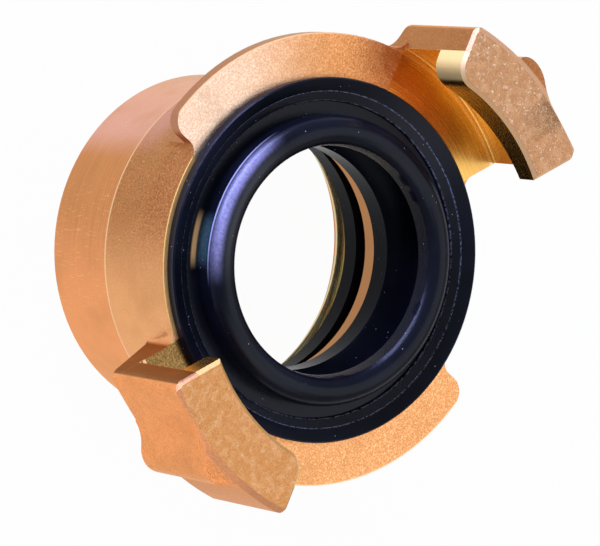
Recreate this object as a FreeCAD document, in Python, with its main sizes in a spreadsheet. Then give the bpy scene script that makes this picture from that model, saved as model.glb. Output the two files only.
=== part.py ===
# Twist-lock claw coupling with a female pipe thread, millimetres.
# The origin is the middle of the rear (threaded) end face, +Z runs along the axis towards the
# claws, and the X axis runs through the middle of both claws.
# Everything that stands outside the turned and forged body repeats after half a turn.
import FreeCAD, Part
import Sketcher
import math
import os

Vector = FreeCAD.Vector

# Driving dimensions in millimetres, and in degrees where the name ends in arc or turn.
SIZES = [
    # rear boss and forged body, each radius a step on from the one before
    ("boss_rear_radius", 17.5),
    ("boss_taper", 0.35),
    ("boss_edge", 0.4),
    ("boss_setback", 11.6),
    ("body_step", 0.4),
    ("body_swell", 0.7),
    ("body_swell_depth", 3.5),
    ("rim_draw", 0.55),
    ("face_height", 22.5),
    # waterway, from the rear
    ("thread_wall", 0.85),
    ("thread_entry_chamfer", 0.35),
    ("gasket_seat_step", 0.25),
    ("gasket_seat_length", 2.3),
    ("gasket_ledge", 1.7),
    ("web_cone", 2.8),
    ("web_thickness", 5.9),
    ("seal_bore_wall", 2.1),
    ("seal_bore_depth", 7.3),
    ("bead_groove_depth", 0.7),
    ("bead_groove_lift", 2.2),
    ("bead_groove_width", 2.0),
    # flange: claw feet and crescent lobes
    ("lobe_width", 3.95),
    ("lobe_end_turn", 98.3),
    ("lobe_corner_radius", 1.8),
    ("lobe_edge_thickness", 2.2),
    ("lobe_ramp_rise", 0.9),
    ("lobe_ramp_land", 0.9),
    ("lobe_ramp_turn", 5.0),
    ("flange_root_depth", 5.1),
    ("flange_back_hollow", 1.5),
    ("flange_back_turn", 23.0),
    ("root_fillet", 1.3),
    # claws
    ("claw_overhang", 3.45),
    ("claw_arc", 41.4),
    ("claw_corner_radius", 0.9),
    ("claw_hollow_radius", 1.8),
    ("claw_wall", 2.9),
    ("hook_overhang", 2.9),
    ("hook_height", 10.3),
    ("hook_tail_thickness", 2.6),
    ("hook_ramp_drop", 1.8),
    ("hook_lead_radius", 2.2),
    ("hook_edge", 0.35),
    # grip bump on the back of each claw
    ("bump_inset", 1.05),
    ("bump_radius", 2.45),
    ("bump_valley_radius", 4.0),
    ("bump_turn", 1.4),
    ("bump_start_depth", 1.6),
    ("bump_slope_length", 1.0),
    ("bump_slope_inset", 0.1),
    # moulded lip seal
    ("seal_clearance", 0.05),
    ("seal_flange_inset", 0.4),
    ("seal_flange_rise", 1.1),
    ("seal_flange_edge", 0.15),
    ("seal_flange_width", 1.35),
    ("seal_step_rise", 0.4),
    ("seal_step_depth", 0.1),
    ("seal_step_width", 0.9),
    ("seal_channel_width", 1.4),
    ("seal_channel_depth", 0.4),
    ("seal_channel_draft", 0.15),
    ("lip_width", 3.05),
    ("lip_rise", 2.6),
    ("lip_ridge_turn", 30.0),
    ("lip_bottom", 0.45),
    ("seal_recess_depth", 2.5),
    ("seal_recess_shoulder", 1.0),
    ("rear_lip_length", 2.75),
    ("rear_lip_edge", 0.4),
    ("seal_bead_gap", 0.13),
    ("seal_bead_slope", 0.3),
    # flat gasket at the bottom of the thread
    ("gasket_width", 3.6),
    ("gasket_clearance", 0.1),
    ("gasket_thickness", 2.0),
    # how far a cutting outline runs past the metal
    ("cut_margin", 1.0),
    ("cut_margin_turn", 1.0),
]


def tie_sizes(size):
    """Radii and heights that follow from the driving dimensions."""
    size["boss_front_radius"] = size["boss_rear_radius"] + size["boss_taper"]
    size["body_rear_radius"] = size["boss_front_radius"] + size["body_step"]
    size["body_radius"] = size["body_rear_radius"] + size["body_swell"]
    size["rim_radius"] = size["body_radius"] - size["rim_draw"]
    size["lobe_radius"] = size["rim_radius"] + size["lobe_width"]
    size["claw_radius"] = size["lobe_radius"] + size["claw_overhang"]
    size["wall_radius"] = size["claw_radius"] - size["claw_wall"]
    size["hook_radius"] = size["wall_radius"] - size["hook_overhang"]
    size["bump_centre_radius"] = size["claw_radius"] - size["bump_inset"]
    size["flank_turn"] = (size["bump_turn"] + size["claw_arc"] / 2) / 2
    size["flank_distance"] = size["claw_radius"] * cosine(size["flank_turn"])
    size["front_radius"] = size["flank_distance"] - size["bump_slope_inset"]
    size["thread_bore_radius"] = size["boss_rear_radius"] - size["thread_wall"]
    size["gasket_seat_radius"] = size["thread_bore_radius"] + size["gasket_seat_step"]
    size["seal_bore_radius"] = size["rim_radius"] - size["seal_bore_wall"]
    size["bead_groove_radius"] = size["seal_bore_radius"] + size["bead_groove_depth"]
    size["boss_length"] = size["face_height"] - size["boss_setback"]
    size["step_height"] = size["boss_length"] + size["body_step"]
    size["swell_height"] = size["face_height"] - size["body_swell_depth"]
    size["root_height"] = size["face_height"] - size["flange_root_depth"]
    size["hook_top"] = size["face_height"] + size["hook_height"]
    size["seal_seat_height"] = size["face_height"] - size["seal_bore_depth"]
    size["gasket_seat_top"] = size["seal_seat_height"] - size["web_thickness"]


class Size:
    """A length or angle that knows its value and the sheet formula it comes from."""

    def __init__(self, value, formula):
        self.value = value
        self.formula = formula

    def joined(self, other, sign, value):
        text = other.formula if isinstance(other, Size) else str(other)
        return Size(value, "(" + self.formula + " " + sign + " " + text + ")")

    def __add__(self, other):
        return self.joined(other, "+", self.value + amount(other))

    def __sub__(self, other):
        return self.joined(other, "-", self.value - amount(other))

    def __mul__(self, other):
        return self.joined(other, "*", self.value * amount(other))

    def __truediv__(self, other):
        return self.joined(other, "/", self.value / amount(other))

    def __neg__(self):
        return Size(-self.value, "(0 - " + self.formula + ")")


def amount(thing):
    return thing.value if isinstance(thing, Size) else thing


def cosine(turn):
    return Size(math.cos(math.radians(turn.value)), "cos(" + turn.formula + " * 1deg)")


def sine(turn):
    return Size(math.sin(math.radians(turn.value)), "sin(" + turn.formula + " * 1deg)")


def arcsine(ratio):
    value = math.degrees(math.asin(ratio.value))
    return Size(value, "(asin(" + ratio.formula + ") / 1deg)")


def square_root(square):
    return Size(math.sqrt(square.value), "sqrt(" + square.formula + ")")


def polar(radius, turn):
    return (radius * cosine(turn), radius * sine(turn))


AXIS = (Size(0.0, "0"), Size(0.0, "0"))


def fill_sheet(doc):
    sheet = doc.addObject("Spreadsheet::Sheet", "Sizes")
    sizes = {}
    for row, (name, value) in enumerate(SIZES, start=1):
        sheet.set("A%d" % row, name.replace("_", " "))
        sheet.set("B%d" % row, str(value))
        sheet.setAlias("B%d" % row, name)
        sizes[name] = Size(value, "Sizes." + name)
    doc.recompute()
    tie_sizes(sizes)
    return sizes


def new_body(doc, name):
    body = doc.addObject("PartDesign::Body", name)
    body.Label = name
    body.Placement = FreeCAD.Placement()
    return body


def origin_plane(body, role):
    return [item for item in body.Origin.OriginFeatures if item.Role == role][0]


def open_sketch(body, name, role, turn=None, lift=None):
    """A sketch on one of the body's own planes, turned about Z and lifted along Z."""
    sketch = body.newObject("Sketcher::SketchObject", name)
    sketch.AttachmentSupport = [(origin_plane(body, role), "")]
    sketch.MapMode = "FlatFace"
    axis = Vector(0, 0, 1) if role == "XY_Plane" else Vector(0, 1, 0)
    offset = FreeCAD.Placement(
        Vector(0, 0, amount(lift or 0)), FreeCAD.Rotation(axis, amount(turn or 0)))
    sketch.AttachmentOffset = offset
    if turn is not None:
        sketch.setExpression("AttachmentOffset.Rotation.Angle", turn.formula + " * 1deg")
    if lift is not None:
        sketch.setExpression("AttachmentOffset.Base.z", lift.formula)
    return sketch


def pin_coordinate(sketch, kind, axis, edge, end, size):
    """Hold one coordinate of a sketch point at a size from the sheet."""
    if amount(size) == 0:
        sketch.addConstraint(Sketcher.Constraint("PointOnObject", edge, end, axis))
        return
    index = sketch.addConstraint(Sketcher.Constraint(kind, -1, 1, edge, end, size.value))
    sketch.setExpression("Constraints[%d]" % index, size.formula)


def arc_between(first, last, centre):
    """The shorter arc about a centre, and the numbers of its first and last ends."""
    middle = (first + last) * 0.5 - centre
    radius = (first - centre).Length
    through = centre + middle * (radius / middle.Length)
    counter_clockwise = (first - centre).cross(last - centre).z > 0
    ends = (1, 2) if counter_clockwise else (2, 1)
    return Part.Arc(first, through, last), ends


def outline(sketch, corners, rounds=None):
    """A closed outline through corners given as pairs of sizes.

    Edges are straight except those listed in rounds, by number, with a centre and a radius.
    """
    rounds = rounds or {}
    points = [Vector(amount(across), amount(along), 0) for across, along in corners]
    count = len(points)
    ends = []
    for index in range(count):
        first, last = points[index], points[(index + 1) % count]
        if index in rounds:
            across, along = rounds[index][0]
            edge, edge_ends = arc_between(first, last, Vector(across.value, along.value, 0))
        else:
            edge, edge_ends = Part.LineSegment(first, last), (1, 2)
        sketch.addGeometry(edge, False)
        ends.append(edge_ends)
    for index in range(count):
        following = (index + 1) % count
        sketch.addConstraint(Sketcher.Constraint(
            "Coincident", index, ends[index][1], following, ends[following][0]))
    for index, (across, along) in enumerate(corners):
        pin_coordinate(sketch, "DistanceX", -2, index, ends[index][0], across)
        pin_coordinate(sketch, "DistanceY", -1, index, ends[index][0], along)
    for index, (centre, radius) in rounds.items():
        held = sketch.addConstraint(Sketcher.Constraint("Radius", index, radius.value))
        sketch.setExpression("Constraints[%d]" % held, radius.formula)


def profile(body, name, corners, rounds=None, turn=None):
    """An outline of (radius, height) corners in the plane through the axis."""
    sketch = open_sketch(body, name, "XZ_Plane", turn=turn)
    outline(sketch, corners, rounds)
    return sketch


def revolve(body, name, kind, sketch):
    """Turn a profile all the way round the axis, to add a solid or to cut one away."""
    feature = body.newObject("PartDesign::" + kind, name)
    feature.Profile = sketch
    feature.ReferenceAxis = (sketch, ["V_Axis"])
    feature.Angle = 360.0
    sketch.Visibility = False
    body.Document.recompute()
    return feature


def pad(body, name, sketch, length):
    feature = body.newObject("PartDesign::Pad", name)
    feature.Profile = sketch
    feature.setExpression("Length", length.formula)
    sketch.Visibility = False
    body.Document.recompute()
    return feature


def helical_cut(body, name, sketch, pitch, arc, left_handed, reverse):
    """Remove a profile swept along a helix over part of a turn."""
    feature = body.newObject("PartDesign::SubtractiveHelix", name)
    feature.Profile = sketch
    feature.ReferenceAxis = (sketch, ["V_Axis"])
    feature.Mode = "pitch-turns-angle"
    feature.setExpression("Pitch", pitch.formula)
    feature.setExpression("Turns", "(" + arc.formula + ") / 360")
    feature.LeftHanded = left_handed
    feature.Reversed = reverse
    sketch.Visibility = False
    body.Document.recompute()
    return feature


def repeat_after_half_turn(body, name, features):
    pattern = body.newObject("PartDesign::PolarPattern", name)
    pattern.Originals = features
    pattern.Axis = (origin_plane(body, "Z_Axis"), [""])
    pattern.Angle = 360.0
    pattern.Occurrences = 2
    body.Tip = pattern
    body.Document.recompute()
    return pattern


def picked_edges(body, wanted):
    """The present solid of a body with those of its edges that pass a test."""
    base = body.Tip
    names = ["Edge%d" % number
             for number, edge in enumerate(base.Shape.Edges, start=1) if wanted(edge)]
    return base, names


def round_edges(body, name, wanted, radius):
    picked = picked_edges(body, wanted)
    feature = body.newObject("PartDesign::Fillet", name)
    feature.Base = picked
    feature.setExpression("Radius", radius.formula)
    body.Document.recompute()
    return feature


def bevel_edges(body, name, wanted, width):
    picked = picked_edges(body, wanted)
    feature = body.newObject("PartDesign::Chamfer", name)
    feature.Base = picked
    feature.setExpression("Size", width.formula)
    body.Document.recompute()
    return feature


def near(first, second, slack=0.02):
    return abs(first - second) < slack


def upright_at(radius, turn):
    """A test for straight upright edges at a radius and an angle, on either half."""
    def test(edge):
        if not isinstance(edge.Curve, Part.Line) or len(edge.Vertexes) != 2:
            return False
        low, high = edge.Vertexes[0].Point, edge.Vertexes[1].Point
        if not (near(low.x, high.x) and near(low.y, high.y)):
            return False
        off = (math.degrees(math.atan2(low.y, low.x)) - turn + 90.0) % 180.0 - 90.0
        return near(math.hypot(low.x, low.y), radius, 0.05) and near(off, 0.0, 0.3)
    return test


def any_of(tests):
    return lambda edge: any(test(edge) for test in tests)


def turned_core(body, size):
    """The turned rear cylinder, its step and the slightly swollen forged body, still solid."""
    corners = [
        (0, 0),
        (size["boss_rear_radius"] - size["boss_edge"], 0),
        (size["boss_rear_radius"], size["boss_edge"]),
        (size["boss_front_radius"], size["boss_length"]),
        (size["body_rear_radius"], size["step_height"]),
        (size["body_radius"], size["swell_height"]),
        (size["rim_radius"], size["face_height"]),
        (0, size["face_height"]),
    ]
    return revolve(body, "core", "Revolution", profile(body, "core_profile", corners))


def flange_side(body, size):
    """One claw's foot and the crescent lobe beside it, drawn with all its corner rounds."""
    half = size["claw_arc"] / 2
    end = size["lobe_end_turn"]
    rim = size["rim_radius"]
    lobe = size["lobe_radius"]
    claw = size["claw_radius"]
    fillet = size["root_fillet"]
    at_rim = rim + fillet
    rim_spread = arcsine(fillet / at_rim)
    hollow = size["claw_hollow_radius"]
    at_claw = lobe + hollow
    claw_spread = arcsine(hollow / at_claw)
    corner = size["lobe_corner_radius"]
    at_corner = lobe - corner
    corner_spread = arcsine(corner / at_corner)
    corners = [
        polar(rim, -half - rim_spread),
        polar(at_rim * cosine(rim_spread), -half),
        polar(claw, -half),
        polar(claw, size["bump_turn"]),
        polar(claw, half),
        polar(at_claw * cosine(claw_spread), half),
        polar(lobe, half + claw_spread),
        polar(lobe, end - corner_spread),
        polar(at_corner * cosine(corner_spread), end),
        polar(at_rim * cosine(rim_spread), end),
        polar(rim, end + rim_spread),
    ]
    rounds = {
        0: (polar(at_rim, -half - rim_spread), fillet),
        3: (AXIS, claw),
        5: (polar(at_claw, half + claw_spread), hollow),
        6: (AXIS, lobe),
        7: (polar(at_corner, end - corner_spread), corner),
        9: (polar(at_rim, end + rim_spread), fillet),
    }
    sketch = open_sketch(body, "flange_outline", "XY_Plane", lift=size["root_height"])
    outline(sketch, corners, rounds)
    return pad(body, "flange", sketch, size["flange_root_depth"])


def relieve_back(body, size):
    """Slope the rear of claws and lobes down to the body in one cone with a bevelled foot."""
    root = size["root_height"]
    rise = (root - size["step_height"]) / (size["swell_height"] - size["step_height"])
    inner = size["body_rear_radius"] + size["body_swell"] * rise
    hollow = size["flange_back_hollow"]
    slope = size["flange_back_turn"]
    halfway = (slope + 90.0) / 2
    meet_radius = inner + hollow - hollow * sine(slope)
    meet_height = root + hollow * cosine(slope)
    outside = size["claw_radius"] + size["cut_margin"]
    edge = meet_height + (outside - meet_radius) * sine(slope) / cosine(slope)
    below = root - size["cut_margin"]
    corners = [
        (inner, root),
        (inner + hollow - hollow * sine(halfway), root + hollow * cosine(halfway)),
        (meet_radius, meet_height),
        (outside, edge),
        (outside, below),
        (inner, below),
    ]
    return revolve(body, "back_relief", "Groove", profile(body, "back_profile", corners))


def claw_block(body, size):
    """The claw above the flange before its slot is cut: a flat flank and a round one."""
    half = size["claw_arc"] / 2
    claw = size["claw_radius"]
    corners = [
        polar(size["seal_bore_radius"], -half),
        polar(claw, -half),
        polar(claw, size["bump_turn"]),
        polar(claw, half),
        polar(size["seal_bore_radius"], half),
    ]
    sketch = open_sketch(body, "claw_outline", "XY_Plane", lift=size["face_height"])
    outline(sketch, corners, {2: (AXIS, claw)})
    return pad(body, "claw", sketch, size["hook_height"])


def grip_bump(body, size):
    """The rounded rib on the back of the claw, with a soft valley beside the flat flank.

    The outline is drawn square to the flat flank, whose middle lies half way between the
    claw's clockwise side and the bump.
    """
    turn = size["flank_turn"]
    flank = size["flank_distance"]
    bump = size["bump_radius"]
    across, along = polar(size["bump_centre_radius"], turn)
    valley = size["bump_valley_radius"]
    reach = bump + valley
    drop = flank + valley - across
    valley_along = along - square_root(reach * reach - drop * drop)
    share = valley / reach
    corners = [
        (flank - size["bump_inset"], valley_along),
        (flank, valley_along),
        (flank + valley - drop * share, valley_along + (along - valley_along) * share),
        (across - bump * sine(turn), along + bump * cosine(turn)),
    ]
    rounds = {1: ((flank + valley, valley_along), valley), 2: ((across, along), bump)}
    low = size["face_height"] - size["bump_start_depth"]
    middle = size["bump_turn"] - turn
    sketch = open_sketch(body, "bump_outline", "XY_Plane", turn=middle, lift=low)
    outline(sketch, corners, rounds)
    return pad(body, "bump", sketch, size["hook_height"] + size["bump_start_depth"])


def round_claw_corners(body, size):
    half = size["claw_arc"].value / 2
    claw = size["claw_radius"].value
    corners = [upright_at(claw, -half), upright_at(claw, half)]
    return round_edges(body, "claw_corners", any_of(corners), size["claw_corner_radius"])


def slope_front(body, size):
    """Slope the front of each bump and of the claw's outer edge down in one cone."""
    top = size["hook_top"]
    front = size["front_radius"]
    peak = size["bump_centre_radius"] + size["bump_radius"]
    low = top - size["bump_slope_length"]
    outside = peak + size["cut_margin"]
    above = top + size["cut_margin"]
    corners = [(front, top), (peak, low), (outside, low), (outside, above), (front, above)]
    return revolve(body, "front_slope", "Groove", profile(body, "front_profile", corners))


def claw_slot(body, size):
    """The undercut that the other half's flange turns into, with a level roof."""
    face = size["face_height"]
    roof = size["hook_top"] - size["hook_tail_thickness"] - size["hook_ramp_drop"]
    above = size["hook_top"] + size["cut_margin"]
    corners = [
        (0, face),
        (size["wall_radius"], face),
        (size["wall_radius"], roof),
        (size["hook_radius"], roof),
        (size["hook_radius"], above),
        (0, above),
    ]
    return revolve(body, "slot", "Groove", profile(body, "slot_profile", corners))


def hook_ramp(body, size):
    """The helical bearing face under the hook, thinning it towards its tail."""
    high = size["hook_top"] - size["hook_tail_thickness"]
    low = high - size["hook_ramp_drop"] - size["cut_margin"]
    inside = size["hook_radius"] - size["cut_margin"]
    wall = size["wall_radius"]
    corners = [(inside, low), (wall, low), (wall, high), (inside, high)]
    pitch = size["hook_ramp_drop"] * 360 / size["claw_arc"]
    start = -(size["claw_arc"] / 2) - size["cut_margin_turn"]
    arc = size["claw_arc"] + size["cut_margin_turn"] * 2
    sketch = profile(body, "hook_ramp_profile", corners, turn=start)
    return helical_cut(body, "hook_ramp", sketch, pitch, arc, True, True)


def lobe_ramp(body, size):
    """The helical bearing land on the rear of each lobe, thin at the free end."""
    half = size["claw_arc"] / 2
    land = size["rim_radius"] + size["lobe_ramp_land"]
    outside = size["lobe_radius"] + size["cut_margin"]
    thick = size["face_height"] - size["lobe_edge_thickness"]
    below = size["root_height"] - size["lobe_ramp_rise"] - size["cut_margin"]
    arc = size["lobe_end_turn"] - half
    corners = [(land, below), (outside, below), (outside, thick), (land, thick)]
    pitch = size["lobe_ramp_rise"] * 360 / arc
    sketch = profile(body, "lobe_ramp_profile", corners, turn=half + size["lobe_ramp_turn"])
    return helical_cut(body, "lobe_ramp", sketch, pitch, arc, False, False)


def waterway(body, size):
    """Thread bore, gasket seat and ledge, web with its cone, and the seal's seat."""
    bore = size["thread_bore_radius"]
    seat = size["gasket_seat_radius"]
    seat_top = size["gasket_seat_top"]
    seat_low = seat_top - size["gasket_seat_length"]
    ledge = seat - size["gasket_ledge"]
    web = ledge - size["web_cone"]
    seal_bore = size["seal_bore_radius"]
    seal_seat = size["seal_seat_height"]
    groove = size["bead_groove_radius"]
    groove_low = seal_seat + size["bead_groove_lift"]
    groove_high = groove_low + size["bead_groove_width"]
    chamfer = size["thread_entry_chamfer"]
    above = size["face_height"] + size["cut_margin"]
    corners = [
        (0, -chamfer),
        (bore + chamfer * 2, -chamfer),
        (bore, chamfer),
        (bore, seat_low),
        (seat, seat_low),
        (seat, seat_top),
        (ledge, seat_top),
        (web, seat_top + size["web_cone"]),
        (web, seal_seat),
        (seal_bore, seal_seat),
        (seal_bore, groove_low),
        (groove, groove_low),
        (groove, groove_high),
        (seal_bore, groove_high),
        (seal_bore, above),
        (0, above),
    ]
    return revolve(body, "bore", "Groove", profile(body, "bore_profile", corners))


def soften_hook(body, size):
    """Round the leading inner corner of each hook and bevel its front face's other edges."""
    half = size["claw_arc"].value / 2
    round_edges(body, "hook_lead", upright_at(size["hook_radius"].value, half),
                size["hook_lead_radius"])
    top = size["hook_top"].value
    sloped = size["front_radius"].value

    def front_edge(edge):
        box = edge.BoundBox
        outer = isinstance(edge.Curve, Part.Circle) and near(edge.Curve.Radius, sloped)
        return near(box.ZMin, top) and near(box.ZMax, top) and not outer
    bevel_edges(body, "hook_edges", front_edge, size["hook_edge"])


def coupling_body(doc, size):
    body = new_body(doc, "coupling_body")
    turned_core(body, size)
    flange = flange_side(body, size)
    repeat_after_half_turn(body, "both_flanges", [flange])
    relieve_back(body, size)
    claw = claw_block(body, size)
    bump = grip_bump(body, size)
    repeat_after_half_turn(body, "both_claws", [claw, bump])
    round_claw_corners(body, size)
    slope_front(body, size)
    claw_slot(body, size)
    under_hook = hook_ramp(body, size)
    repeat_after_half_turn(body, "both_hook_ramps", [under_hook])
    behind_lobe = lobe_ramp(body, size)
    repeat_after_half_turn(body, "both_lobe_ramps", [behind_lobe])
    waterway(body, size)
    soften_hook(body, size)
    return body


def lip_seal(doc, size):
    """The moulded seal: dished flange, channel, rounded lip, inner recess and rear lip."""
    body = new_body(doc, "lip_seal")
    face = size["face_height"]
    seat = size["seal_seat_height"]
    outer = size["seal_bore_radius"] - size["seal_clearance"]
    bead = size["bead_groove_radius"] - size["seal_bead_gap"]
    bead_low = seat + size["bead_groove_lift"] + size["seal_clearance"]
    bead_high = bead_low + size["bead_groove_width"] - size["seal_clearance"] * 2
    flange = size["rim_radius"] - size["seal_flange_inset"]
    flange_top = face + size["seal_flange_rise"]
    flange_edge = size["seal_flange_edge"]
    step = flange - size["seal_flange_width"]
    shelf = face + size["seal_step_rise"]
    floor = face - size["seal_channel_depth"]
    channel_outer = step - size["seal_step_width"]
    channel_inner = channel_outer - size["seal_channel_width"]
    inner = channel_inner - size["lip_width"]
    lip_radius = size["lip_width"] / 2
    lip_middle = inner + lip_radius
    crest = face + size["lip_rise"]
    lip_centre = (lip_middle, crest - lip_radius)
    ridge = size["lip_ridge_turn"]
    lip_low = face + size["lip_bottom"]
    recess = inner + size["seal_recess_depth"]
    shoulder = size["seal_recess_shoulder"]
    rear_top = seat + size["rear_lip_length"]
    rear_edge = size["rear_lip_edge"]
    corners = [
        (inner, seat),
        (outer, seat),
        (outer, bead_low),
        (bead, bead_low + size["seal_bead_slope"]),
        (bead, bead_high - size["seal_bead_slope"]),
        (outer, bead_high),
        (outer, face),
        (flange, face),
        (flange, flange_top - flange_edge),
        (flange - flange_edge, flange_top),
        (step, shelf),
        (step, shelf - size["seal_step_depth"]),
        (channel_outer, face),
        (channel_outer - size["seal_channel_draft"], floor),
        (channel_inner, floor),
        (channel_inner, crest - lip_radius),
        (lip_middle, crest),
        (lip_middle - lip_radius * cosine(ridge), crest - lip_radius + lip_radius * sine(ridge)),
        (inner, lip_low),
        (recess, lip_low - shoulder * 2),
        (recess, rear_top + shoulder),
        (inner + rear_edge, rear_top),
        (inner, rear_top - rear_edge),
    ]
    rounds = {15: (lip_centre, lip_radius), 16: (lip_centre, lip_radius)}
    revolve(body, "seal", "Revolution", profile(body, "seal_profile", corners, rounds))
    return body


def thread_gasket(doc, size):
    """The flat ring that lies in its seat between the thread and the web."""
    body = new_body(doc, "thread_gasket")
    top = size["gasket_seat_top"]
    low = top - size["gasket_thickness"]
    outer = size["gasket_seat_radius"] - size["gasket_clearance"]
    inner = outer - size["gasket_width"]
    corners = [(inner, low), (outer, low), (outer, top), (inner, top)]
    revolve(body, "ring", "Revolution", profile(body, "ring_profile", corners))
    return body


def check_document(doc, bodies):
    """Stop before anything is written if a feature failed or a solid is not sound."""
    for item in doc.Objects:
        if "Invalid" in item.State or "Error" in item.State:
            raise RuntimeError(item.Name + " failed: " + str(item.State))
    for body in bodies:
        shape = body.Shape
        if shape.isNull() or not shape.isValid() or len(shape.Solids) != 1:
            raise RuntimeError(body.Label + " is not one sound solid")


def write_parts(bodies):
    os.makedirs("parts", exist_ok=True)
    for body in bodies:
        box = body.Shape.BoundBox
        print("%s: volume %.1f mm3, x %.2f to %.2f, y %.2f to %.2f, z %.2f to %.2f" % (
            body.Label, body.Shape.Volume, box.XMin, box.XMax, box.YMin, box.YMax,
            box.ZMin, box.ZMax))
        body.Shape.exportStep("parts/" + body.Label + ".step")


def main():
    doc = FreeCAD.newDocument("coupling")
    size = fill_sheet(doc)
    bodies = [coupling_body(doc, size), lip_seal(doc, size), thread_gasket(doc, size)]
    doc.recompute()
    check_document(doc, bodies)
    write_parts(bodies)


main()
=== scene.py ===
import math
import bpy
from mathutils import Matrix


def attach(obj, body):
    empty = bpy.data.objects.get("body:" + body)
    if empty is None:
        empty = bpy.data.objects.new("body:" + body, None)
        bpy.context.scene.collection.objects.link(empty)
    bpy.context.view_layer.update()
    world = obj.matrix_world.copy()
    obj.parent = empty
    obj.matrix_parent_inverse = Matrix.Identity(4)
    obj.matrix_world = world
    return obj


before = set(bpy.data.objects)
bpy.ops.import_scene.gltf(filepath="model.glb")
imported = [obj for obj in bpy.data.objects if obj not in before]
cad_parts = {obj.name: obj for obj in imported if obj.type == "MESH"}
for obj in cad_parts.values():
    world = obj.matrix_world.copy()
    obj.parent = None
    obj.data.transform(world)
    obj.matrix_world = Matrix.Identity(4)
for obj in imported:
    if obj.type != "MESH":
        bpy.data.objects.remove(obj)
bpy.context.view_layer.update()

from types import SimpleNamespace
import bpy
from mathutils import Euler, Vector

MM = 0.001

# Heights on the part that its looks follow, in millimetres above the floor.
STEP = 11.3
FLANGE_FOOT = 17.4
FACE = 22.5
LIP_SHOULDER_FOOT = 23.9
LIP_CORNER_HEIGHTS = (23.85, 24.02)
HOOK_END = 27.5
HOOK_TOP = 32.8
# The heights over which the painted violet reflection fades out, from full to none.
TOP_SIDE_FADE = (18.0, 13.0)

# Radii on the part that its looks follow, in millimetres.
LIP_SHOULDER = (13.45, 14.15)
LIP_CORNER = (14.2, 14.4)
LIP_WALL = (14.25, 14.45)
LIP_OUTSIDE = 14.5
CHANNEL = (14.55, 15.1)
SEAL_EDGES = (16.63, 15.72)
SEAL_BORE = 16.3
OUTSIDE = 18.0
RIM = 18.4
CORE = 19.0
LOBE = 22.35
SLOT_WALL = 22.9

# Turns about the axis, in degrees from the first claw, that patches of the looks follow.
CLAW_HALF_TURN = 20.7
TOP_SIDE_TURN = 78
PALE_LOBE_TURN = 108
LIP_SHOULDER_TURN = 108
LIP_WALL_TURN = 126
OPEN_RIM_TURN = 128.6
SCRATCHES_TURN = 134
LOW_SIDE_TURN = 172
FAR_FLANK_TURN = 197

# The share that y has of x where a hook's leading end, which carries a painted highlight, begins.
LEAD_SIDE_SLOPE = (0.30, 0.33)

# Tones of the brass. A pair is mottled by a noise: where it is low, the first tone shows,
# and where it is high, the second.
FORGED = ((0.76, 0.32, 0.115, 1), (1.0, 0.55, 0.25, 1))
FORGED_SPARK = (1.0, 0.84, 0.62, 1)
# A painted highlight on the lobes' forward faces near one side, in two tones.
CHALK = ((0.90, 0.64, 0.48, 1), (0.98, 0.91, 0.82, 1))
SECOND_CLAW_FRONT = (0.42, 0.19, 0.06, 1)
FIRST_CLAW_FRONT = (0.30, 0.185, 0.125, 1)
FRONT_PATCH = (0.92, 0.62, 0.38, 1)
FRONT_GLINT = (1.0, 0.88, 0.76, 1)
FLANK = ((0.82, 0.30, 0.105, 1), (1.0, 0.41, 0.16, 1))
FLANK_PATCH = (0.60, 0.25, 0.09, 1)
# Painted shade on the far claw's outer flank.
FAR_FLANK = (0.52, 0.20, 0.10, 1)
FIRST_CLAW_END = ((0.36, 0.145, 0.055, 1), (0.52, 0.22, 0.09, 1))
SECOND_CLAW_END = (0.23, 0.095, 0.036, 1)
LOBE_SIDE = (0.46, 0.21, 0.13, 1)
BODY = ((0.32, 0.13, 0.05, 1), (0.56, 0.23, 0.09, 1))
BODY_SPARK = (1.0, 0.62, 0.30, 1)
# Painted light on the body's low side and a painted violet reflection near its top.
BODY_LOW_SIDE = (1.0, 0.50, 0.23, 1)
BODY_TOP_SIDE = (0.66, 0.34, 0.32, 1)
TURNED = ((0.54, 0.215, 0.085, 1), (0.68, 0.29, 0.12, 1))
# Painted light on the low side of the boss and bores, and a painted violet reflection near their
# top.
TURNED_LOW_SIDE = (0.92, 0.37, 0.16, 1)
TURNED_TOP_SIDE = (0.82, 0.46, 0.42, 1)
SCRATCH = (1.0, 0.50, 0.16, 1)
SLOT = ((0.78, 0.46, 0.10, 1), (0.92, 0.56, 0.16, 1))
# The far slot's floor: darker and grainy, partly a painted reflection of the claw's shaded wall,
# partly a rougher cast surface.
FAR_SLOT_FLOOR = ((0.12, 0.07, 0.025, 1), (0.30, 0.18, 0.07, 1))
WEB = (0.40, 0.19, 0.085, 1)
STAIN = (0.50, 0.23, 0.09, 1)
# Painted highlights: on a hook's leading end, along the slot floor's edge, on the bright edges and
# along the rim.
LEAD = (1.0, 0.84, 0.42, 1)
SLOT_LINE = (1.0, 0.80, 0.50, 1)
EDGE = (1.0, 0.68, 0.42, 1)
RIM_LINE = (1.0, 0.68, 0.26, 1)
BRASS_TINT = (1.0, 0.82, 0.62, 1)
THREAD = ((0.62, 0.58, 0.34, 1), (0.78, 0.54, 0.28, 1))

# Tones of the rubber, of the specks on it, and of the highlights and reflections that are painted
# on it.
RUBBER = ((0.0030, 0.0042, 0.009, 1), (0.0055, 0.0072, 0.014, 1))
RUBBER_TINT = (0.80, 0.86, 1.0, 1)
DUST = (0.55, 0.55, 0.58, 1)
# Painted highlights along the seal's ridge lines and the lip's corner.
RIDGE_DUST = (0.42, 0.46, 0.72, 1)
SHOULDER_VIOLET = (0.52, 0.52, 0.92, 1)
WALL_TEAL = (0.05, 0.14, 0.17, 1)
CHANNEL_GOLD = (1.0, 0.62, 0.26, 1)

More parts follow.
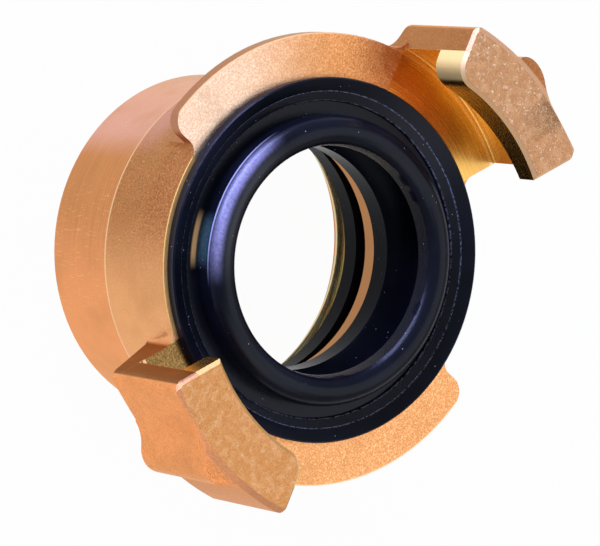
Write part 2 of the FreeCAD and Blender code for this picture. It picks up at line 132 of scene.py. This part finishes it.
# Noise: how far bumps reach in metres, the stretch of turning lines along the cut,
# and the scales along x, y and z of scratches that run along the axis.
BUMP_REACH = 0.0001
CUT_STRETCH = 0.02
SCRATCH_SCALES = (3.0, 3.0, 0.35)

# Smooth shading: the weld's distance in metres and the sharpest smooth edge in degrees.
WELD_DISTANCE = 1e-6
SHARP_ANGLE = 26

# The thread ridge in millimetres: a pipe thread's crest and pitch on the plain bore's wall.
THREAD_MAJOR = 16.66
THREAD_MINOR = 15.145
THREAD_PITCH = 2.309
THREAD_LOW = 0.9
THREAD_HIGH = 6.95
THREAD_MOUTH = 0.4
THREAD_BEVEL_START = 1.05
THREAD_OVERLAP = 0.04
CREST_EDGE_HALF = 0.05
CREST_EDGE_DROP = 0.06

# The crest's and the root's width as shares of the pitch, the steps in one turn, and how
# the ridge runs out at its inner end: over this share of a turn, down to this depth's share.
CREST_SHARE = 0.17
ROOT_SHARE = 0.90
STEPS_PER_TURN = 96
FADE_TURNS = 0.35
FADE_REST = 0.02

# The floor and the sky.
FLOOR_SIZE = 6.0
FLOOR_GLOW_SHARE = 0.97
PAPER = ((0.80, 0.80, 0.80, 1), (0.82, 0.82, 0.82, 1))
WHITE = (1.0, 1.0, 1.0, 1)
SKY = (0.95, 0.96, 1.0, 1)
SKY_STRENGTH = 0.35

# Area lights: place and size in metres, power in watts. All aim at one point.
LIGHTS = {
    "top": {"place": (0.242, -0.313, 0.593), "size": (0.60, 0.60), "power": 1.15,
            "colour": (1.0, 0.97, 0.95)},
    "window": {"place": (0.10, 0.48, 0.15), "size": (0.60, 0.16), "power": 5.0,
               "colour": (0.55, 0.57, 1.0)},
    "front": {"place": (-0.24, -0.31, 0.57), "size": (0.40, 0.40), "power": 0.65,
              "colour": (1.0, 0.95, 0.88)},
}
LIGHT_AIM = (0, 0, 0.015)

# The camera, fitted to the circles in the photo: metres, degrees and millimetres.
CAMERA_PLACE = (-0.13922, 0.17788, 0.34956)
CAMERA_TURN = (-5.0487, -34.0120, -43.3709)
CAMERA_LENS = 242.64
CAMERA_SENSOR = 36.0
CAMERA_NEAR, CAMERA_FAR = 0.01, 20.0


class Graph:
    """A material's node tree with short ways to add and join nodes."""

    def __init__(self, name):
        self.material = bpy.data.materials.new(name)
        self.material.use_nodes = True
        self.nodes = self.material.node_tree.nodes
        self.links = self.material.node_tree.links
        self.nodes.clear()

    def put(self, socket, value):
        """Link a value that comes from another node, or set one that is a constant."""
        if isinstance(value, bpy.types.NodeSocket):
            self.links.new(value, socket)
        else:
            socket.default_value = value

    def node(self, kind, inputs=None, **settings):
        node = self.nodes.new(kind)
        for key, value in settings.items():
            setattr(node, key, value)
        for key, value in (inputs or {}).items():
            self.put(node.inputs[key], value)
        return node

    def calc(self, operation, *values):
        node = self.node("ShaderNodeMath", dict(enumerate(values)), operation=operation)
        return node.outputs[0]

    def fold(self, operation, values):
        """One operation over any number of values, from the first to the last."""
        result = values[0]
        for value in values[1:]:
            result = self.calc(operation, result, value)
        return result

    def both(self, *masks):
        """A mask that holds where all the given masks do."""
        return self.fold("MULTIPLY", masks)

    def either(self, *masks):
        """A mask that holds where any of the given masks does."""
        return self.fold("MAXIMUM", masks)

    def step(self, value, low, high):
        """0 below low and 1 above high, smooth between; high may be under low."""
        inputs = {"Value": value, "From Min": low, "From Max": high}
        node = self.node("ShaderNodeMapRange", inputs, interpolation_type="SMOOTHSTEP")
        return node.outputs[0]

    def band(self, value, low, high, soft):
        """1 between two values and 0 outside, with soft ends."""
        return self.both(self.step(value, low - soft, low + soft),
                         self.step(value, high + soft, high - soft))

    def span(self, value, low, high):
        """A value between 0 and 1, spread evenly between low and high."""
        inputs = {"Value": value, "To Min": low, "To Max": high}
        return self.node("ShaderNodeMapRange", inputs).outputs[0]

    def vector(self, x, y, z):
        return self.node("ShaderNodeCombineXYZ", {"X": x, "Y": y, "Z": z}).outputs[0]

    def noise(self, place, scale, detail, roughness):
        inputs = {"Vector": place, "Scale": scale, "Detail": detail, "Roughness": roughness}
        return self.node("ShaderNodeTexNoise", inputs).outputs[0]

    def cells(self, place, scale):
        """The distance to the nearest of many scattered points."""
        inputs = {"Vector": place, "Scale": scale}
        return self.node("ShaderNodeTexVoronoi", inputs, feature="F1").outputs["Distance"]

    def mix(self, factor, first, second):
        """From the first colour to the second; the node's colours are inputs 6 and 7."""
        node = self.node("ShaderNodeMix", {0: factor, 6: first, 7: second}, data_type="RGBA")
        return node.outputs[2]

    def blend(self, factor, first, second):
        """From the first number to the second; the node's numbers are inputs 2 and 3."""
        node = self.node("ShaderNodeMix", {0: factor, 2: first, 3: second}, data_type="FLOAT")
        return node.outputs[0]

    def mottle(self, noise, low, high, tones):
        """The first tone where the noise is below low, the second where it is above high."""
        return self.mix(self.step(noise, low, high), *tones)

    def lay(self, colour, mask, strength, tone):
        """A tone laid over a colour where a mask holds, at part of its full strength."""
        return self.mix(self.calc("MULTIPLY", mask, strength), colour, tone)

    def bump(self, height, strength):
        inputs = {"Height": height, "Strength": strength, "Distance": BUMP_REACH}
        return self.node("ShaderNodeBump", inputs).outputs[0]

    def finish(self, **inputs):
        shader = self.node("ShaderNodeBsdfPrincipled")
        for key, value in inputs.items():
            self.put(shader.inputs[key.replace("_", " ")], value)
        output = self.node("ShaderNodeOutputMaterial")
        self.links.new(shader.outputs[0], output.inputs[0])
        return self.material


class PartGraph(Graph):
    """A graph that knows where on the part a point lies, in millimetres."""

    def __init__(self, name):
        super().__init__(name)
        place = self.node("ShaderNodeTexCoord").outputs["Object"]
        scaled = self.node("ShaderNodeVectorMath", {0: place, "Scale": 1 / MM}, operation="SCALE")
        self.point = scaled.outputs[0]
        self.x, self.y, self.z = self.node("ShaderNodeSeparateXYZ", {"Vector": self.point}).outputs
        squares = self.calc("MULTIPLY_ADD", self.x, self.x, self.calc("MULTIPLY", self.y, self.y))
        self.radius = self.calc("SQRT", squares)

    def toward(self, turn):
        """How near a point lies to a turn about the axis: 1 at it and -1 across from it."""
        turn = math.radians(turn)
        across = self.calc("MULTIPLY", self.y, math.sin(turn))
        along = self.calc("MULTIPLY_ADD", self.x, math.cos(turn), across)
        return self.calc("DIVIDE", along, self.radius)

    def ring_lines(self, scale):
        """Fine turning lines: they run round the axis and hardly change along the cut."""
        along = self.calc("MULTIPLY", self.x, CUT_STRETCH)
        across = self.calc("MULTIPLY", self.y, CUT_STRETCH)
        place = self.vector(self.calc("ADD", self.radius, along), across, self.z)
        return self.noise(place, scale, detail=3.0, roughness=0.65)


def brass_noises(g, m):
    """The noises that mottle the brass."""
    m.lines = g.ring_lines(scale=5.5)
    m.broad = g.noise(g.point, scale=0.16, detail=3.0, roughness=0.6)
    m.grain = g.noise(g.point, scale=5.5, detail=3.0, roughness=0.65)
    m.clumps = g.noise(g.point, scale=1.1, detail=2.0, roughness=0.5)
    m.sparkle = g.step(g.calc("ADD", m.grain, g.calc("MULTIPLY", m.clumps, 0.15)), 0.69, 0.77)
    m.glint = g.step(g.noise(g.point, scale=3.4, detail=2.0, roughness=0.7), 0.60, 0.70)
    parts = zip((g.x, g.y, g.z), SCRATCH_SCALES)
    brushed = g.vector(*(g.calc("MULTIPLY", part, scale) for part, scale in parts))
    scratch = g.step(g.noise(brushed, scale=2.0, detail=3.0, roughness=0.7), 0.56, 0.70)
    m.scratched = g.both(scratch, g.step(g.toward(SCRATCHES_TURN), 0.86, 0.99))


def brass_places(g, m):
    """The masks of the brass piece's places: faces, slots, bores and sides."""
    x, y, z, radius = g.x, g.y, g.z, g.radius
    width = g.calc("MULTIPLY", g.calc("ABSOLUTE", x), math.tan(math.radians(CLAW_HALF_TURN)))
    m.inside = g.calc("SUBTRACT", width, g.calc("ABSOLUTE", y))
    m.first = g.step(x, -1.0, 1.0)
    m.second = g.step(x, 1.0, -1.0)
    m.above = g.step(z, FACE - 0.2, FACE - 0.05)

    under_front = g.step(z, HOOK_TOP - 0.02, HOOK_TOP - 0.04)
    m.slot = g.both(g.step(m.inside, -0.25, -0.05), m.above, under_front,
                    g.step(radius, SLOT_WALL + 0.04, SLOT_WALL + 0.01))
    boss = g.step(z, STEP - 0.1, STEP - 0.3)
    bore = g.step(radius, SEAL_BORE + 0.6, SEAL_BORE + 0.5)
    m.turned = g.either(m.slot, boss, bore)
    m.web = g.both(bore, g.step(radius, SEAL_BORE - 0.4, SEAL_BORE - 0.5))

    m.front = g.step(z, HOOK_TOP - 0.012, HOOK_TOP - 0.006)
    m.face = g.band(z, FACE - 0.012, FACE + 0.012, 0.006)
    # A painted highlight on the lobes' faces near one side.
    m.pale = g.both(m.face, g.step(g.toward(PALE_LOBE_TURN), 0.42, 0.96))
    # Painted shade on the far claw's flank.
    m.far_flank = g.step(g.toward(FAR_FLANK_TURN), 0.975, 0.995)
    # Painted light on the low side.
    m.low_side = g.step(g.toward(LOW_SIDE_TURN), 0.60, 0.97)
    # A painted violet reflection on the top side, fading out at lower heights.
    m.top_side = g.both(g.step(g.toward(TOP_SIDE_TURN), 0.90, 0.985), g.step(z, *TOP_SIDE_FADE))


def brass_lines(g, m):
    """The masks of the brass piece's bright lines, which are painted highlights, and of what shows
    in its slots: a painted highlight on a hook's leading end and the far slot's darker floor.
    """
    x, y, z, radius = g.x, g.y, g.z, g.radius
    # A painted highlight on a hook's leading end.
    m.lead = g.both(m.slot, g.step(g.calc("DIVIDE", y, x), *LEAD_SIDE_SLOPE),
                    g.step(z, HOOK_END, HOOK_END + 0.5))
    # The far slot's floor: partly a painted reflection of the claw's shaded wall, partly a rougher
    # cast surface.
    m.far_slot = g.both(m.slot, m.second, g.step(z, FACE + 0.3, FACE + 0.1))
    # A painted highlight along the edge of the slot floor.
    m.slot_line = g.both(m.slot, g.band(radius, SLOT_WALL - 0.13, SLOT_WALL + 0.05, 0.04),
                         g.step(z, FACE + 0.12, FACE + 0.04))

    # The bright edges are painted highlights: on the claw fronts, along the lobes' top edges and
    # on the step to the boss.
    m.front_edge = g.both(g.step(z, HOOK_TOP - 0.42, HOOK_TOP - 0.30),
                          g.step(z, HOOK_TOP - 0.008, HOOK_TOP - 0.014))
    # A painted highlight along the rim, on two stretches across from each other.
    open_rim = g.calc("ABSOLUTE", g.toward(OPEN_RIM_TURN))
    m.rim_line = g.both(g.step(open_rim, 0.87, 0.90), m.above, g.step(radius, RIM + 0.1, RIM),
                        g.step(radius, RIM - 0.8, RIM - 0.75))
    lobe_edge = g.both(g.band(z, FACE - 0.16, FACE + 0.1, 0.05),
                       g.band(radius, LOBE - 0.12, LOBE + 0.2, 0.05))
    step_line = g.both(g.band(z, STEP, STEP + 0.28, 0.05),
                       g.step(radius, OUTSIDE, OUTSIDE + 0.1))
    # The painted highlights are fainter on the second claw's front.
    strength = g.blend(g.both(m.front_edge, m.second), 0.75, 0.25)
    m.edges = g.both(g.either(m.front_edge, lobe_edge, step_line), strength)


def front_colours(g, m):
    """Faces that look forward: the lobes', with a painted highlight near one side, and the darker
    claws'.
    """
    lobes = g.mottle(m.grain, 0.40, 0.64, FORGED)
    lobes = g.lay(lobes, m.sparkle, 0.45, FORGED_SPARK)
    # The painted highlight near one side, mottled by the grain.
    lobes = g.lay(lobes, m.pale, 0.78, g.mottle(m.grain, 0.42, 0.60, CHALK))
    claws = g.mix(0.65, lobes, g.mix(m.first, SECOND_CLAW_FRONT, FIRST_CLAW_FRONT))
    claws = g.lay(claws, g.step(m.clumps, 0.42, 0.70), 0.22, FRONT_PATCH)
    claws = g.lay(claws, m.glint, g.span(m.first, 0.12, 0.60), FRONT_GLINT)
    return lobes, claws


def side_colour(g, m):
    """Sides: bright outer flanks with painted shade on the far claw's flank, darker claw ends, and
    a brown, mottled body with painted light on its low side and a painted violet reflection near
    its top.
    """
    flank = g.mottle(m.grain, 0.35, 0.65, FLANK)
    flank = g.lay(flank, g.step(m.clumps, 0.45, 0.72), 0.30, FLANK_PATCH)
    # Painted shade laid on the far claw's flank.
    flank = g.lay(flank, m.far_flank, 0.5, FAR_FLANK)
    ends = g.mix(m.first, SECOND_CLAW_END, g.mottle(m.grain, 0.35, 0.65, FIRST_CLAW_END))
    body = g.mottle(m.grain, 0.36, 0.62, BODY)
    body = g.lay(body, m.sparkle, 0.35, BODY_SPARK)
    # Painted light on the body's low side, then a painted violet reflection near its top.
    body = g.lay(body, m.low_side, 0.75, BODY_LOW_SIDE)
    body = g.lay(body, m.top_side, 0.8, BODY_TOP_SIDE)
    side = g.mix(g.band(m.inside, -0.5, 0.14, 0.06), flank, ends)
    side = g.mix(g.step(m.inside, -0.5, -0.7), side, LOBE_SIDE)
    low = g.either(g.step(g.z, FLANGE_FOOT + 0.6, FLANGE_FOOT),
                   g.step(g.radius, CORE + 0.6, CORE))
    return g.mix(low, side, body)


def turned_colour(g, m):
    """Turned faces: the boss and the bores, scratched near one side, with painted light on their
    low side and a painted violet reflection near their top.
    """
    colour = g.mottle(m.lines, 0.3, 0.7, TURNED)
    colour = g.lay(colour, m.low_side, 0.8, TURNED_LOW_SIDE)
    colour = g.lay(colour, m.top_side, 0.8, TURNED_TOP_SIDE)
    return g.lay(colour, m.scratched, 0.6, SCRATCH)


def brass():
    """The body's look. Part of what the photo shows as reflections is painted into it."""
    g = PartGraph("body_brass_look")
    m = SimpleNamespace()
    brass_noises(g, m)
    brass_places(g, m)
    brass_lines(g, m)

    lobes, claws = front_colours(g, m)
    colour = g.mix(g.either(m.face, m.front), side_colour(g, m), lobes)
    colour = g.mix(m.front, colour, claws)
    colour = g.mix(m.turned, colour, turned_colour(g, m))
    colour = g.mix(m.slot, colour, g.mottle(m.lines, 0.3, 0.7, SLOT))
    colour = g.mix(m.web, colour, WEB)
    colour = g.lay(colour, g.step(m.broad, 0.42, 0.75), 0.35, STAIN)
    # The far slot's darker floor: partly a painted reflection of shade, partly a rougher cast
    # surface.
    colour = g.lay(colour, m.far_slot, 0.92, g.mottle(m.grain, 0.45, 0.60, FAR_SLOT_FLOOR))
    # Painted highlights: a hook's leading end, the slot floor's edge, the bright edges and the
    # rim.
    colour = g.mix(m.lead, colour, LEAD)
    colour = g.lay(colour, m.slot_line, 0.9, SLOT_LINE)
    colour = g.mix(m.edges, colour, EDGE)
    colour = g.mix(m.rim_line, colour, RIM_LINE)

    rough = g.blend(m.turned, g.span(m.grain, 0.22, 0.40), g.span(m.lines, 0.20, 0.32))
    rough = g.blend(m.sparkle, rough, 0.18)
    rough = g.blend(g.either(m.front_edge, m.rim_line), rough, 0.6)
    rough = g.blend(m.lead, rough, 0.62)
    height = g.blend(m.turned, g.calc("ADD", m.grain, m.clumps), m.lines)
    normal = g.bump(height, g.blend(m.turned, 0.45, 0.10))
    return g.finish(Base_Color=colour, Metallic=1.0, Roughness=rough,
                    Specular_Tint=BRASS_TINT, Normal=normal)


def thread_brass():
    g = PartGraph("thread_brass_look")
    lines = g.ring_lines(scale=7.0)
    stain = g.noise(g.point, scale=0.5, detail=3.0, roughness=0.6)
    return g.finish(Base_Color=g.mottle(stain, 0.35, 0.7, THREAD), Metallic=1.0,
                    Roughness=g.span(lines, 0.16, 0.28), Normal=g.bump(lines, 0.12))


def rubber(name, dust):
    """A rubber's look; its second argument is how much shows of the light specks and of the
    painted highlights along the seal's ridge lines.
    """
    g = PartGraph(name)
    z, radius = g.z, g.radius
    grain = g.noise(g.point, scale=3.5, detail=4.0, roughness=0.65)
    wide = g.noise(g.point, scale=0.25, detail=2.0, roughness=0.5)
    size = g.noise(g.point, scale=0.6, detail=2.0, roughness=0.5)
    speck = g.both(g.step(g.cells(g.point, scale=1.5), 0.085, 0.045), g.step(size, 0.52, 0.60))
    # Painted highlights along the seal's ridge lines, broken by the grain.
    rings = [g.band(radius, edge - 0.035, edge + 0.035, 0.02) for edge in SEAL_EDGES]
    ridges = g.both(g.either(*rings), g.step(z, FACE - 0.5, FACE - 0.4),
                    g.step(grain, 0.40, 0.60))

    # Reflections that the photo shows on the lip are painted: violet on its shoulder,
    # teal on its wall and gold in the channel beside it.
    lit = g.step(g.toward(LIP_SHOULDER_TURN), 0.80, 0.99)
    left = g.step(g.toward(LIP_WALL_TURN), 0.978, 0.9995)
    lip = g.both(g.step(z, FACE + 0.2, FACE + 0.6),
                 g.step(radius, LIP_OUTSIDE + 0.1, LIP_OUTSIDE))
    shoulder = g.both(lit, g.step(z, LIP_SHOULDER_FOOT, LIP_SHOULDER_FOOT + 0.3),
                      g.band(radius, *LIP_SHOULDER, 0.40))
    # A painted highlight along the lip's corner.
    corner = g.both(lit, g.band(z, *LIP_CORNER_HEIGHTS, 0.04),
                    g.band(radius, *LIP_CORNER, 0.06))
    wall = g.both(left, g.band(radius, *LIP_WALL, 0.05),
                  g.step(z, LIP_SHOULDER_FOOT, LIP_SHOULDER_FOOT - 0.3))
    channel = g.both(left, g.band(radius, *CHANNEL, 0.12), g.step(z, FACE - 0.1, FACE - 0.3))
    sheen = g.span(grain, 0.10, 1.0)

    colour = g.mottle(wide, 0.3, 0.7, RUBBER)
    colour = g.lay(colour, shoulder, sheen, SHOULDER_VIOLET)
    colour = g.lay(colour, wall, sheen, WALL_TEAL)
    colour = g.lay(colour, channel, 0.8, CHANNEL_GOLD)
    colour = g.lay(colour, speck, dust, DUST)
    # The painted highlights on the ridge lines and on the lip's corner.
    ridges = g.either(g.calc("MULTIPLY", ridges, 0.6), corner)
    colour = g.lay(colour, ridges, dust, RIDGE_DUST)

    rough = g.calc("ADD", g.span(wide, 0.20, 0.30), g.calc("MULTIPLY", speck, 0.3))
    normal = g.bump(g.calc("ADD", grain, speck), 0.20)
    shine = g.blend(g.step(z, FACE - 1.6, FACE - 0.6), 0.05, 0.20)
    shine = g.blend(g.both(lit, lip), shine, 0.5)
    return g.finish(Base_Color=colour, Roughness=rough, Specular_IOR_Level=shine,
                    Specular_Tint=RUBBER_TINT, Normal=normal)


def floor_look():
    """A pale floor that the camera and reflections see as nearly white."""
    g = Graph("floor_look")
    rays = g.node("ShaderNodeLightPath").outputs
    seen = g.either(rays["Is Camera Ray"], rays["Is Transmission Ray"], rays["Is Glossy Ray"])
    place = g.node("ShaderNodeTexCoord").outputs["Object"]
    tint = g.mix(g.noise(place, scale=40.0, detail=2.0, roughness=0.5), *PAPER)
    diffuse = g.node("ShaderNodeBsdfDiffuse", {"Color": tint})
    glow = g.node("ShaderNodeEmission", {"Color": WHITE, "Strength": 1.0})
    share = g.calc("MULTIPLY", seen, FLOOR_GLOW_SHARE)
    inputs = {0: share, 1: diffuse.outputs[0], 2: glow.outputs[0]}
    mix = g.node("ShaderNodeMixShader", inputs)
    g.node("ShaderNodeOutputMaterial", {0: mix.outputs[0]})
    return g.material


def smooth_look():
    """A modifier's node group: weld the facets and keep only true corners sharp."""
    group = bpy.data.node_groups.new("smooth_look", "GeometryNodeTree")
    for way in ("INPUT", "OUTPUT"):
        group.interface.new_socket("Geometry", in_out=way, socket_type="NodeSocketGeometry")
    nodes, links = group.nodes, group.links
    start = nodes.new("NodeGroupInput")
    weld = nodes.new("GeometryNodeMergeByDistance")
    weld.inputs["Distance"].default_value = WELD_DISTANCE
    faces = nodes.new("GeometryNodeSetShadeSmooth")
    faces.domain = "FACE"
    angle = nodes.new("GeometryNodeInputMeshEdgeAngle")
    wide = nodes.new("FunctionNodeCompare")
    wide.operation = "GREATER_THAN"
    wide.inputs[1].default_value = math.radians(SHARP_ANGLE)
    edges = nodes.new("GeometryNodeSetShadeSmooth")
    edges.domain = "EDGE"
    edges.inputs["Shade Smooth"].default_value = False
    end = nodes.new("NodeGroupOutput")
    chain = ((start, weld), (weld, faces), (faces, edges), (angle, wide), (edges, end))
    for before, after in chain:
        links.new(before.outputs[0], after.inputs[0])
    links.new(wide.outputs[0], edges.inputs["Selection"])
    return group


def thread_section():
    """The ridge's section: radius and rise over its middle, from its lower foot to its upper."""
    half_crest = CREST_SHARE * THREAD_PITCH / 2
    half_root = ROOT_SHARE * THREAD_PITCH / 2
    upper = [
        (THREAD_MINOR, half_crest - CREST_EDGE_HALF),
        (THREAD_MINOR + CREST_EDGE_DROP, half_crest + CREST_EDGE_HALF),
        (THREAD_MAJOR + THREAD_OVERLAP, half_root),
    ]
    return [(radius, -rise) for radius, rise in reversed(upper)] + upper


def thread_ridge():
    """The helical thread ridge on the wall of the bore, bevelled at the mouth."""
    count = int((THREAD_HIGH - THREAD_LOW) / THREAD_PITCH * STEPS_PER_TURN)
    section = thread_section()
    size = len(section)
    points = []
    for index in range(count + 1):
        angle = 2 * math.pi * index / STEPS_PER_TURN
        middle = THREAD_LOW + THREAD_PITCH * index / STEPS_PER_TURN
        fade = min(1.0, (count - index) / (STEPS_PER_TURN * FADE_TURNS) + FADE_REST)
        for radius, rise in section:
            height = min(max(middle + rise, THREAD_MOUTH), THREAD_HIGH)
            depth = THREAD_MAJOR - radius
            bevel = max(0.0, height - THREAD_BEVEL_START)
            depth = min(depth * fade, bevel) if depth > 0 else depth
            reach = (THREAD_MAJOR - depth) * MM
            points.append((reach * math.cos(angle), reach * math.sin(angle), height * MM))
    faces = [tuple(range(size)), tuple(reversed(range(count * size, (count + 1) * size)))]
    for index in range(count):
        for side in range(size):
            near, far = index * size + side, index * size + (side + 1) % size
            faces.append((near, near + size, far + size, far))
    mesh = bpy.data.meshes.new("thread_ridge")
    mesh.from_pydata(points, [], faces)
    mesh.validate()
    ridge = bpy.data.objects.new("thread_ridge", mesh)
    bpy.context.scene.collection.objects.link(ridge)
    return ridge


def soften(piece, group):
    modifier = piece.modifiers.new("smooth_look", "NODES")
    modifier.node_group = group


def dress(node, material):
    """Give a CAD piece its material, in place of any it had, and return the piece."""
    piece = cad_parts[node]
    piece.data.materials.clear()
    piece.data.materials.append(material)
    return piece


def area_light(name, place, size, power, colour):
    data = bpy.data.lights.new(name, "AREA")
    data.shape = "RECTANGLE"
    data.size, data.size_y = size
    data.energy = power
    data.color = colour
    light = bpy.data.objects.new(name, data)
    light.location = place
    aim = Vector(LIGHT_AIM) - Vector(place)
    light.rotation_euler = aim.to_track_quat("-Z", "Y").to_euler()
    bpy.context.scene.collection.objects.link(light)


def set_stage():
    bpy.ops.mesh.primitive_plane_add(size=FLOOR_SIZE, location=(0, 0, 0))
    floor = bpy.context.object
    floor.name = "floor"
    floor.data.materials.append(floor_look())
    world = bpy.data.worlds.new("studio")
    world.use_nodes = True
    background = world.node_tree.nodes["Background"]
    background.inputs["Color"].default_value = SKY
    background.inputs["Strength"].default_value = SKY_STRENGTH
    bpy.context.scene.world = world


def set_camera():
    data = bpy.data.cameras.new("camera")
    data.sensor_width = CAMERA_SENSOR
    data.lens = CAMERA_LENS
    data.clip_start, data.clip_end = CAMERA_NEAR, CAMERA_FAR
    camera = bpy.data.objects.new("camera", data)
    camera.location = CAMERA_PLACE
    camera.rotation_euler = Euler([math.radians(turn) for turn in CAMERA_TURN], "XYZ")
    bpy.context.scene.collection.objects.link(camera)
    bpy.context.scene.camera = camera


def main():
    group = smooth_look()
    body = dress("coupling_body", brass())
    seal = dress("lip_seal", rubber("lip_seal_look", dust=1.0))
    gasket = dress("thread_gasket", rubber("thread_gasket_look", dust=0.3))
    ridge = thread_ridge()
    ridge.data.materials.append(thread_brass())
    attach(ridge, "root")
    for piece in (body, seal, gasket, ridge):
        soften(piece, group)
    set_stage()
    for name, light in LIGHTS.items():
        area_light(name, **light)
    set_camera()
    bpy.context.scene.view_settings.view_transform = "Standard"


main()
